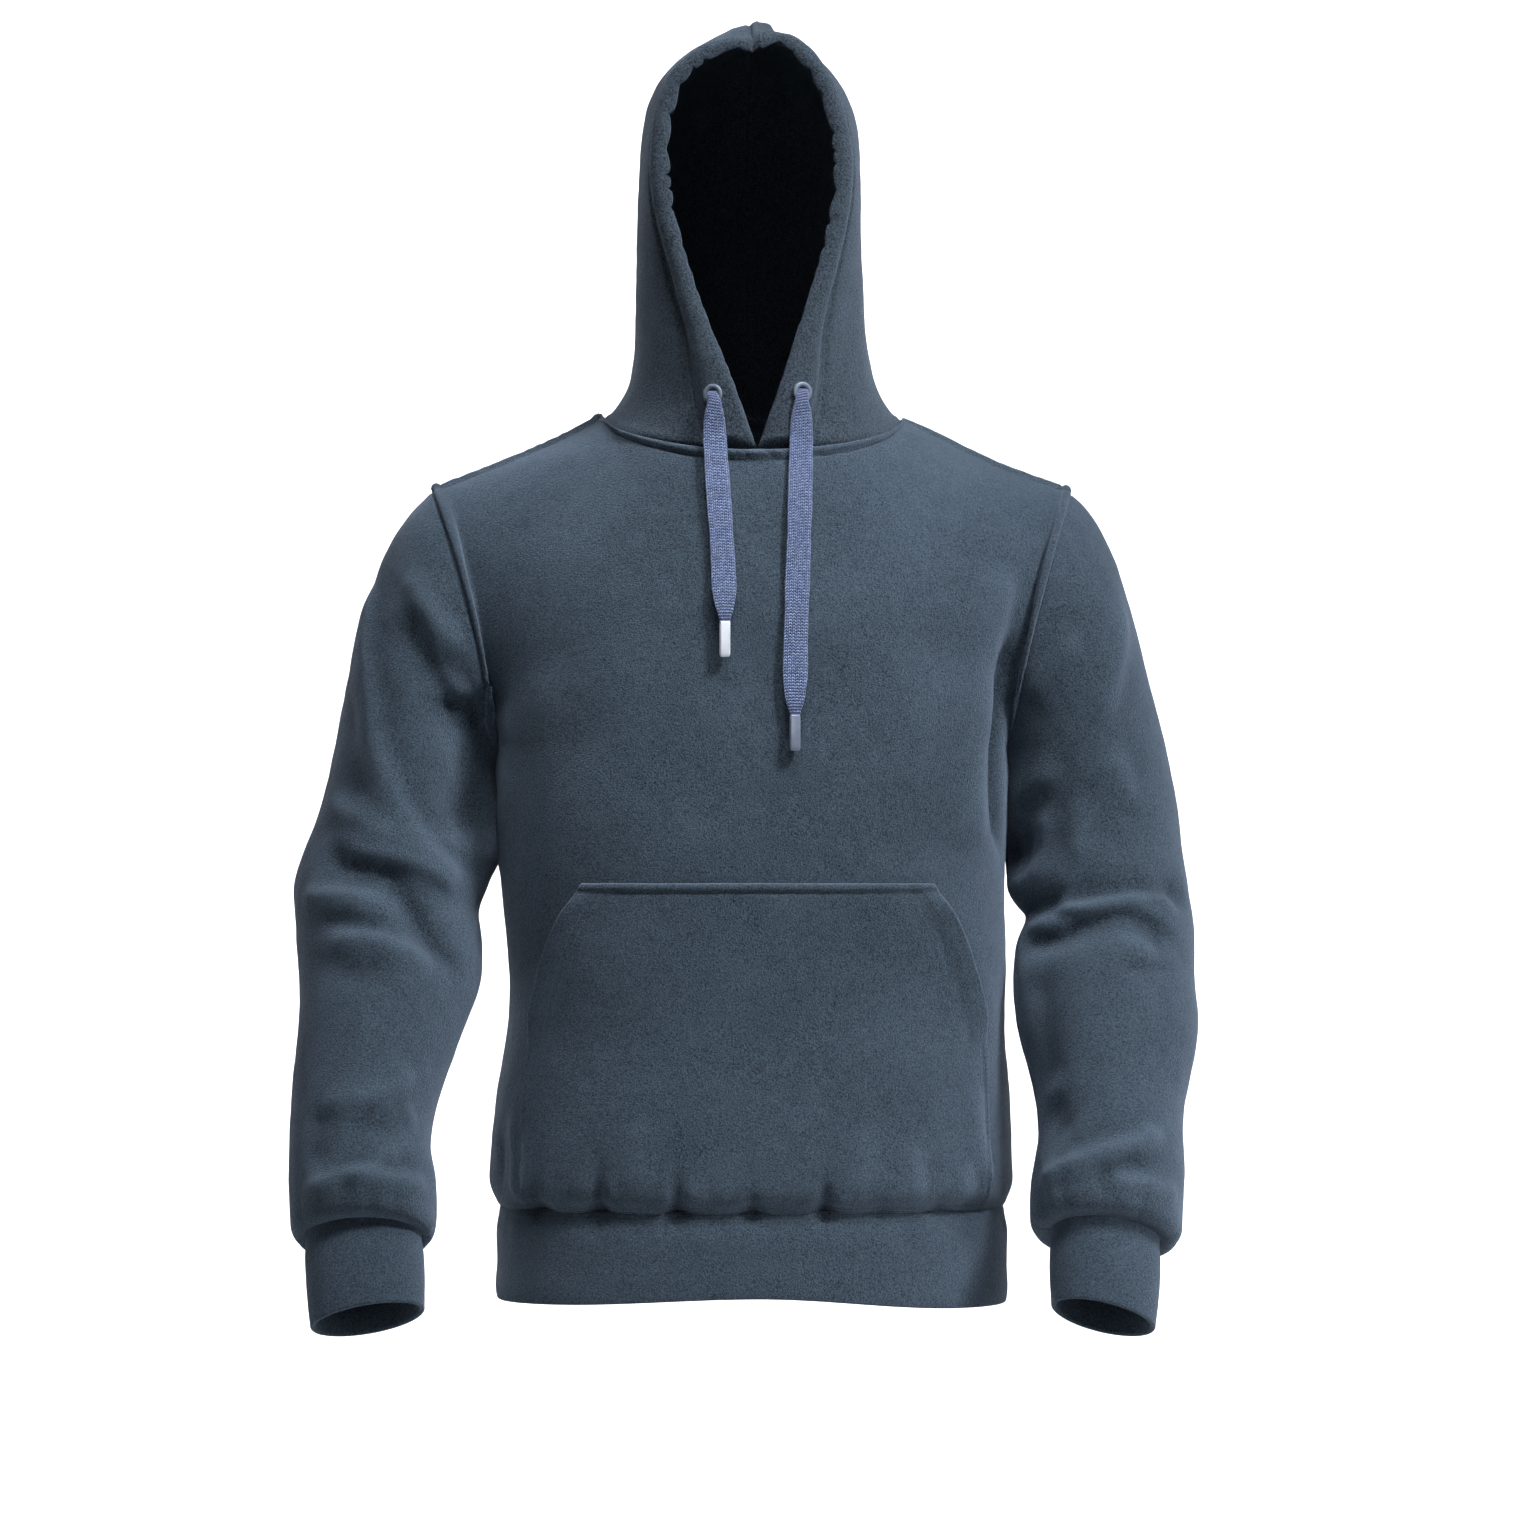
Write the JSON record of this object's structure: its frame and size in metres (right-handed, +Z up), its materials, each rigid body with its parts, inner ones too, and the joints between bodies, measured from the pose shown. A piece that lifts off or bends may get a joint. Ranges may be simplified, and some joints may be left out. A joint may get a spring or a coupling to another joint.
{
  "type": "pullover hoodie",
  "caption": "Pullover hoodie in brushed fleece with its hood up, a kangaroo pocket, ribbed cuffs and hem, and a flat drawcord, in its worn hollow form.",
  "frame": {"origin": "on the centre line, at the height where the shoulder seams meet the neck, where the wearer's shoulders hold the garment", "axes": "+Z up, the front faces -Y, +X is the wearer's left"},
  "size_m": [0.7036, 0.3001, 1.0224],
  "materials": {
    "fleece": "brushed cotton fleece, matt with a soft nap",
    "rib_knit": "the same brushed cloth on the folded cuffs and hem",
    "braided_cord": "flat braided cord",
    "painted_metal": "blue-grey painted metal, half gloss"
  },
  "bodies": {
    "root": {"front_panel": "fleece", "back_panel": "fleece", "sleeve_right": "fleece", "sleeve_left": "fleece", "hood_right": "fleece", "hood_left": "fleece", "pocket": "fleece", "cuff_right": "rib_knit", "cuff_left": "rib_knit", "hem_band": "rib_knit", "drawcord_right": "braided_cord", "drawcord_left": "braided_cord", "eyelet_right": "painted_metal", "eyelet_left": "painted_metal", "tip_right": "painted_metal", "tip_left": "painted_metal"}
  },
  "joints": []
}
